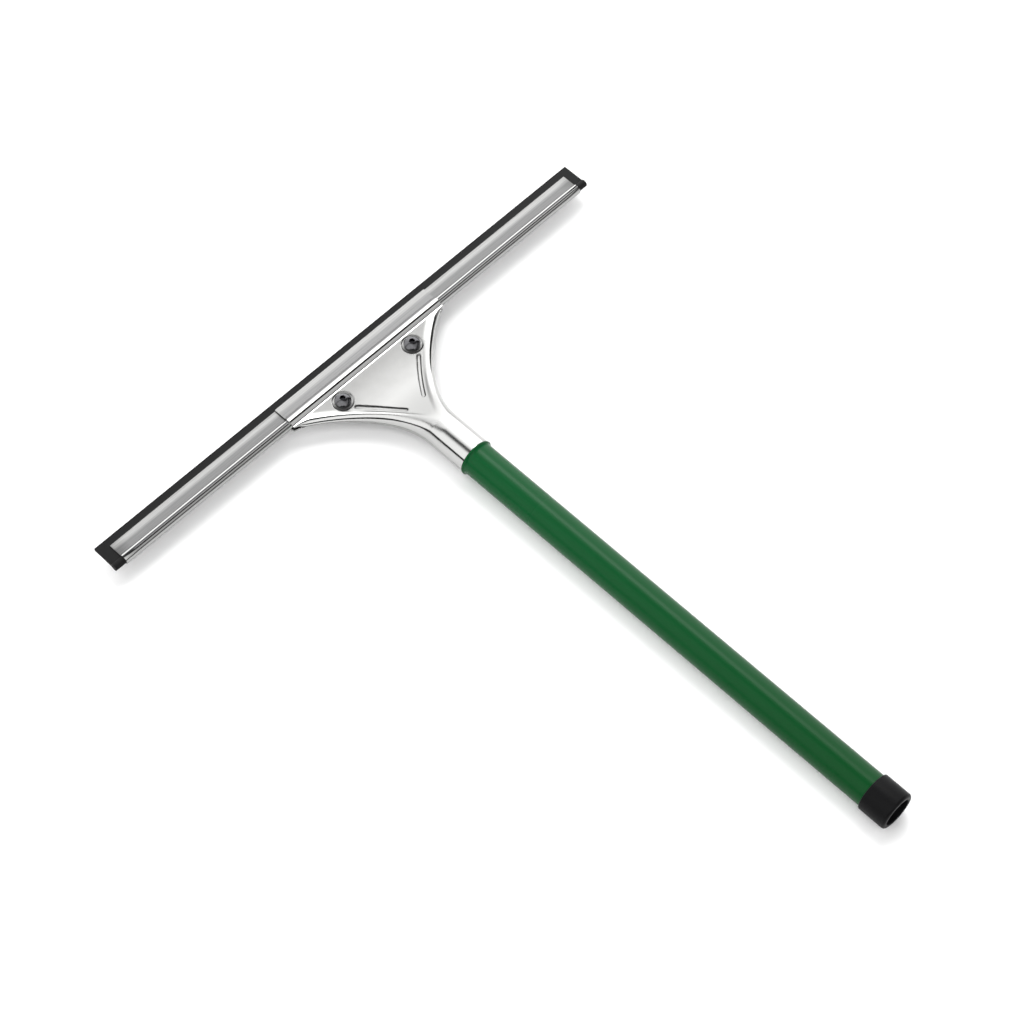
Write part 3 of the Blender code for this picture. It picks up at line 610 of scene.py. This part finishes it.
def sideCurve(share):
    # The plate's curved side from the jaw's end to the neck: a point, and how straight back it runs there
    lean = math.radians(plate["tipAngle"])
    tipX = plate["jawLength"] / 2
    corners = ((tipX, jawBack),
               (tipX - plate["tipReach"] * math.cos(lean), jawBack + plate["tipReach"] * math.sin(lean)),
               (plate["neckRadius"], plate["neckSetBack"] - plate["neckReach"]),
               (plate["neckRadius"], plate["neckSetBack"]))
    rest = 1 - share
    weights = (rest ** 3, 3 * share * rest ** 2, 3 * share ** 2 * rest, share ** 3)
    slopes = (rest ** 2, 2 * share * rest, share ** 2)
    point = [sum(w * c[k] for w, c in zip(weights, corners)) for k in (0, 1)]
    run = [sum(w * (b[k] - a[k]) for w, a, b in zip(slopes, corners, corners[1:])) for k in (0, 1)]
    return point, run[1] / math.hypot(*run)


def pressedDepth(x, setBack):
    # How far the panel is pressed in at a point by the grooves and the screw seats, how much of the point is a
    # pressed wall, and how much painted shade it takes on one side of the grooves' and seats' walls
    x, side = abs(x), math.copysign(1, x)
    (x0, s0), (x1, s1) = plate["grooveStart"], plate["grooveEnd"]
    length = math.hypot(x1 - x0, s1 - s0)
    along = ((x - x0) * (x1 - x0) + (setBack - s0) * (s1 - s0)) / length
    aside = ((x - x0) * -(s1 - s0) + (setBack - s0) * (x1 - x0)) / length
    share = min(max(along / length, 0.0), 1.0)
    aside -= 4 * plate["grooveBow"] * share * (1 - share)
    beyond = max(-along, along - length, 0.0)
    far = math.hypot(beyond, aside)
    groove = 1 - eased((far - plate["grooveHalf"] + plate["grooveWall"]) / plate["grooveWall"])
    far = math.hypot(x - screwAt["x"], setBack - screwAt["setBack"])
    seat = 1 - eased((far - plate["seatRadius"] + plate["seatWall"]) / plate["seatWall"])
    wall = 4 * max(groove * (1 - groove), seat * (1 - seat))
    # Painted shade falls on one side of each groove's walls and on one side of each seat's wall
    shadeShare = min(plate["grooveShade"] * groove * (1 - groove), 1) * (aside * side < 0)
    outwards = eased(side * (x - screwAt["x"]) / plate["seatShadeRun"])
    shadeShare += plate["seatShade"] * seat * (1 - seat) * outwards
    return max(groove * plate["grooveDepth"], seat * plate["seatDepth"]), wall, shadeShare


def plateRow(setBack, halfWidth, lean, inset):
    # Half a row behind the jaw, from the side to the middle, as (x, height)
    neckShare = min((setBack - jawBack) / (plate["neckSetBack"] - jawBack), 1.0)
    crest = plate["webHeight"] + (plate["neckRadius"] - plate["webHeight"]) * neckShare ** 2 - inset
    closed = eased((setBack - jawBack) / plate["sideClosing"])
    rim = (plate["rimWidth"] + (plate["neckRadius"] - plate["rimWidth"]) * neckShare ** 4) / lean
    depth, slope = inset * closed / lean, plate["slopeWidth"] / lean
    crown = eased((setBack - plate["crownStart"]) / (plate["crownEnd"] - plate["crownStart"]))
    panel = plate["webHeight"] - inset + (crest - plate["webHeight"] + inset) * crown
    inner, shown = halfWidth - rim, min(rim - depth, plate["rimShare"] * halfWidth)
    rimCells, slopeCells, panelCells = [plate["cells"][part] for part in ("rim", "slope", "panel")]
    xs = [halfWidth - depth - shown * (1 - math.cos(math.pi / 2 * i / rimCells)) for i in range(rimCells + 1)]
    last = xs[-1]
    fall = min(slope, plate["slopeShare"] * last)
    xs += [last - fall * (i + 1) / slopeCells for i in range(slopeCells)]
    xs += [(last - fall) * (1 - (i + 1) / panelCells) for i in range(panelCells)]
    row = []
    for x in xs:
        if x >= inner:
            over = math.sqrt(max(1 - ((x - inner) / (rim - depth)) ** 2, 0.0))
            height = crest * (1 - closed) + closed * (plate["seam"] / 2 + (crest - plate["seam"] / 2) * over)
        else:
            height = crest + (panel - crest) * eased((inner - x) / slope)
        row.append((x, height - pressedDepth(x, setBack)[0]))
    return row


def jawSection(inset):
    # The jaw from its front edge: lip, hump and the fillet down to the web, as (set-back, height)
    lip, radius, fillet = plate["jawLipHeight"], plate["jawRadius"], channel["fillet"]
    rise = math.sqrt((radius + fillet) ** 2 - (lip + fillet) ** 2)
    meeting = math.atan2(lip + fillet, -rise)
    leaving = math.atan2(plate["webHeight"] + plate["humpFillet"], jawBack - blade["beadSetBack"])
    start, lipRows = blade["beadSetBack"] - rise, plate["rows"]["lip"]
    points = [(channel["lipStart"] + (start - channel["lipStart"]) * i / lipRows, lip - inset)
              for i in range(lipRows)]
    points += arcPoints((start, lip + fillet), fillet + inset, -math.pi / 2, meeting - math.pi,
                        plate["rows"]["lipFillet"])
    points += arcPoints((blade["beadSetBack"], 0), radius - inset, meeting, leaving, plate["rows"]["hump"])[1:]
    points += arcPoints((jawBack, plate["webHeight"] + plate["humpFillet"]), plate["humpFillet"] + inset,
                        leaving + math.pi, 1.5 * math.pi, plate["rows"]["webFillet"])[1:]
    return points


def plateFace(inset):
    (tip, _), tipLean = sideCurve(0)
    flat = [x for x, _ in plateRow(jawBack, tip, tipLean, 0)]
    rows = [[(x, s, h) for x in flat] for s, h in jawSection(inset)]
    for i in range(1, plate["rows"]["web"] + 1):
        (halfWidth, setBack), lean = sideCurve(i / plate["rows"]["web"])
        rows.append([(x, setBack, h) for x, h in plateRow(setBack, halfWidth, lean, inset)])
    neckRows = plate["rows"]["neck"]
    for i in range(1, neckRows + 1):
        setBack = plate["neckSetBack"] + (plate["neckEnd"] - plate["neckSetBack"]) * i / neckRows
        rows.append([(x, setBack, h) for x, h in plateRow(setBack, plate["neckRadius"], 1.0, inset)])
    return [row + [(-x, s, h) for x, s, h in reversed(row[:-1])] for row in rows]


def flatShare(row, column, x, setBack):
    # One on the flat panel and the lip, which stay satin, falling to zero on the rim, the hump, the neck
    # and the pressed walls
    satin, cells = plate["satin"], plate["cells"]
    if row < satin["jawRows"]:
        return 1.0
    if setBack < jawBack + satin["behindJaw"]:
        return 0.0
    margin = satin["margin"]
    panel = eased((column - cells["rim"] + margin) / (cells["slope"] + 2 * margin))
    panel *= 1 - satin["wallShine"] * min(pressedDepth(x, setBack)[1], 1)
    onCrown = eased((setBack - satin["crownFrom"]) / satin["crownRun"])
    offRim = eased((column - satin["rimCells"]) / satin["rimCells"])
    panel += (satin["crown"] - panel) * onCrown * offRim
    return panel * (1 - eased((setBack - satin["neckFrom"]) / satin["neckRun"]))


def makePlate(name, up, node):
    mesh = bmesh.new()
    flatness, paintedShade = [mesh.verts.layers.float.new(word) for word in ("flatness", "paintedShade")]
    outer, inner = [[[mesh.verts.new(place(x, s, up * h)) for x, s, h in row] for row in plateFace(inset)]
                    for inset in (0, plate["sheet"])]
    for grid in (outer, inner):
        for i, row in enumerate(grid):
            for j, vert in enumerate(row):
                x, setBack = vert.co.x - axisX, frontY - vert.co.y
                vert[flatness] = flatShare(i, min(j, len(row) - 1 - j), x, setBack)
                vert[paintedShade] = pressedDepth(x, setBack)[2]
    lastRow, lastColumn = len(outer) - 1, len(outer[0]) - 1
    for grid in (outer, inner):
        for i in range(lastRow):
            for j in range(lastColumn):
                mesh.faces.new((grid[i][j], grid[i][j + 1], grid[i + 1][j + 1], grid[i + 1][j]))
    for i in (0, lastRow):
        for j in range(lastColumn):
            mesh.faces.new((outer[i][j], outer[i][j + 1], inner[i][j + 1], inner[i][j]))
    for j in (0, lastColumn):
        for i in range(lastRow):
            mesh.faces.new((outer[i][j], outer[i + 1][j], inner[i + 1][j], inner[i][j]))
    bmesh.ops.recalc_face_normals(mesh, faces=mesh.faces)
    made = bpy.data.meshes.new(name)
    mesh.to_mesh(made)
    mesh.free()
    piece = bpy.data.objects.new(name, made)
    bpy.context.scene.collection.objects.link(piece)
    for side in (-1, 1):
        nothingPicked()
        bpy.ops.mesh.primitive_cylinder_add(vertices=plate["drillSides"], radius=plate["holeRadius"],
                                            depth=plate["drillLength"],
                                            location=atScrew(side, up * plate["drillHeight"]))
        drill = bpy.context.object
        applyAll(drill)
        booleanWith(piece, drill)
    return finishPiece(piece, name, plateFinish, node)


makePlate("pressedPlateUpper", 1, "upper_clamp_plate")
makePlate("pressedPlateLower", -1, "lower_clamp_plate")
print("plates pressed")

# Clamp screws: a cap cut from a ball, pulled down into a rim and a shank, with a hexagon socket
screw = {"headRadius": 0.00475, "domeHeight": 0.0023, "rimHeight": 0.0005, "radius": 0.00245,
         "length": 0.0120, "tipChamfer": 0.0006, "seat": 0.0034, "socketWidth": 0.0032,
         "socketDepth": 0.0016, "sides": 64, "rings": 96, "downwards": -0.9,
         "edge": 0.00012, "edgeAngle": 30, "shortest": 0.00001}
domeRadius = (screw["headRadius"] ** 2 + screw["domeHeight"] ** 2) / (2 * screw["domeHeight"])


def makeScrew(name, side, node):
    rimTop = screw["seat"] + screw["rimHeight"]
    top = rimTop + screw["domeHeight"]
    nothingPicked()
    bpy.ops.mesh.primitive_uv_sphere_add(segments=screw["sides"], ring_count=screw["rings"],
                                         radius=domeRadius, location=atScrew(side, top - domeRadius))
    piece = bpy.context.object
    applyAll(piece)
    bpy.ops.object.mode_set(mode="EDIT")
    bpy.ops.mesh.select_all(action="SELECT")
    bpy.ops.mesh.bisect(plane_co=place(0, 0, rimTop), plane_no=(0, 0, 1), use_fill=True, clear_inner=True)
    pick(piece, lambda middle, normal: normal.z < screw["downwards"], "FACE")
    bpy.ops.mesh.extrude_region_move(TRANSFORM_OT_translate={"value": (0, 0, -screw["rimHeight"])})
    bpy.ops.mesh.inset(thickness=screw["headRadius"] - screw["radius"], depth=0)
    shank = (0, 0, screw["tipChamfer"] - screw["length"])
    bpy.ops.mesh.extrude_region_move(TRANSFORM_OT_translate={"value": shank})
    bpy.ops.mesh.extrude_region_move(TRANSFORM_OT_translate={"value": (0, 0, -screw["tipChamfer"])})
    bpy.ops.transform.resize(value=(1 - screw["tipChamfer"] / screw["radius"],) * 2 + (1,))
    nothingPicked()
    bpy.ops.mesh.primitive_cylinder_add(vertices=6, radius=screw["socketWidth"] / math.sqrt(3),
                                        depth=2 * screw["socketDepth"], location=atScrew(side, top))
    socket = bpy.context.object
    applyAll(socket)
    booleanWith(piece, socket)
    softEdges(piece, screw["edge"], screw["edgeAngle"])
    mergeSlivers(piece, screw["shortest"])
    return finishPiece(piece, name, screwFinish, node)


makeScrew("buttonScrewLeft", -1, "clamp_screw_left")
makeScrew("buttonScrewRight", 1, "clamp_screw_right")
print("screws turned")

# Dome nuts: a hexagon with a ball end that the head rests on
nut = {"width": 0.0080, "top": -0.0032, "hexHeight": 0.0040, "domeRadius": 0.0036, "domeHeight": 0.0041,
       "bore": 0.00255, "endWall": 0.0015, "sides": 64, "rings": 32, "boreSides": 48,
       "edge": 0.0002, "edgeAngle": 40}


def makeNut(name, side, node):
    nothingPicked()
    bpy.ops.mesh.primitive_cylinder_add(vertices=6, radius=nut["width"] / math.sqrt(3), depth=nut["hexHeight"],
                                        location=atScrew(side, nut["top"] - nut["hexHeight"] / 2),
                                        rotation=(0, 0, math.pi / 6))
    piece = bpy.context.object
    applyAll(piece)
    nothingPicked()
    bpy.ops.mesh.primitive_uv_sphere_add(segments=nut["sides"], ring_count=nut["rings"], radius=1,
                                         location=atScrew(side, nut["top"] - nut["hexHeight"]))
    dome = bpy.context.object
    dome.scale = (nut["domeRadius"], nut["domeRadius"], nut["domeHeight"])
    applyAll(dome)
    booleanWith(piece, dome, "UNION")
    nothingPicked()
    deep = nut["hexHeight"] + nut["domeHeight"] - nut["endWall"]
    bpy.ops.mesh.primitive_cylinder_add(vertices=nut["boreSides"], radius=nut["bore"], depth=2 * deep,
                                        location=atScrew(side, nut["top"]))
    bore = bpy.context.object
    applyAll(bore)
    booleanWith(piece, bore)
    softEdges(piece, nut["edge"], nut["edgeAngle"])
    return finishPiece(piece, name, nutFinish, node)


makeNut("domeNutLeft", -1, "dome_nut_left")
makeNut("domeNutRight", 1, "dome_nut_right")

# Washers and tube keep their CAD bodies, with finishes of their own
for node, finish in (("spring_washer_left", screwFinish), ("spring_washer_right", screwFinish),
                     ("flat_washer_left", nutFinish), ("flat_washer_right", nutFinish),
                     ("handle_tube", tubeFinish)):
    frame["nodes"][node].data.materials.clear()
    frame["nodes"][node].data.materials.append(finish)
print("nuts and washers set")

# Grip sleeve: a thin vinyl skin that flares into a lip against the neck
sleeve = {"radius": 0.0101, "bore": 0.0096, "lipRadius": 0.01115, "lipThickness": 0.0008, "lipRound": 0.0003,
          "flareLength": 0.0022, "flareRoom": 0.01, "start": 0.1042, "end": 0.4046,
          "lipSteps": 4, "flareSteps": 10, "lengthSteps": 12}
flare = sleeve["lipRadius"] - sleeve["radius"]
quarters = [math.pi / 2 * i / sleeve["flareSteps"] for i in range(sleeve["flareSteps"] + 1)]
straight = sleeve["end"] - sleeve["start"] - sleeve["flareRoom"]
profile = [(sleeve["bore"], sleeve["end"]), (sleeve["bore"], sleeve["start"])]
profile += arcPoints((sleeve["lipRadius"] - sleeve["lipRound"], sleeve["start"] + sleeve["lipRound"]),
                     sleeve["lipRound"], -math.pi / 2, 0, sleeve["lipSteps"])
profile += [(sleeve["lipRadius"] - flare * math.sin(a),
             sleeve["start"] + sleeve["lipThickness"] + sleeve["flareLength"] * (1 - math.cos(a)))
            for a in quarters]
profile += [(sleeve["radius"], sleeve["start"] + sleeve["flareRoom"] + straight * i / sleeve["lengthSteps"])
            for i in range(sleeve["lengthSteps"] + 1)]
finishPiece(lathe(profile), "vinylSleeve", sleeveFinish, "grip_sleeve")
print("sleeve drawn on")

# End cap: a push-on cup with a round mouth, a rounded end and a lined hole for a pole or a hook
cap = {"radius": 0.0113, "bore": 0.0102, "start": 0.3900, "end": 0.4072, "floor": 0.4047,
       "holeRadius": 0.0083, "liningRadius": 0.0074, "liningOuter": 0.0084, "liningDepth": 0.0150,
       "mouthRound": 0.0008, "mouthSteps": 8, "endRound": 0.0016, "endSteps": 10,
       "holeRound": 0.0005, "holeSteps": 6}
liningEnd = cap["floor"] - cap["liningDepth"]
rounds = arcPoints((cap["start"] + cap["mouthRound"], cap["radius"] - cap["mouthRound"]),
                   cap["mouthRound"], math.pi, math.pi / 2, cap["mouthSteps"])
rounds += arcPoints((cap["end"] - cap["endRound"], cap["radius"] - cap["endRound"]),
                    cap["endRound"], math.pi / 2, 0, cap["endSteps"])
rounds += arcPoints((cap["end"] - cap["holeRound"], cap["holeRadius"] + cap["holeRound"]),
                    cap["holeRound"], 0, -math.pi / 2, cap["holeSteps"])
profile = [(cap["bore"], cap["floor"]), (cap["bore"], cap["start"])]
profile += [(radius, setBack) for setBack, radius in rounds]
profile += [(cap["holeRadius"], cap["floor"]),
            (cap["liningRadius"], cap["floor"] - cap["holeRadius"] + cap["liningRadius"]),
            (cap["liningRadius"], liningEnd), (cap["liningOuter"], liningEnd),
            (cap["liningOuter"], cap["floor"])]
finishPiece(lathe(profile), "pushOnCap", capFinish, "end_cap")
print("cap pushed on")
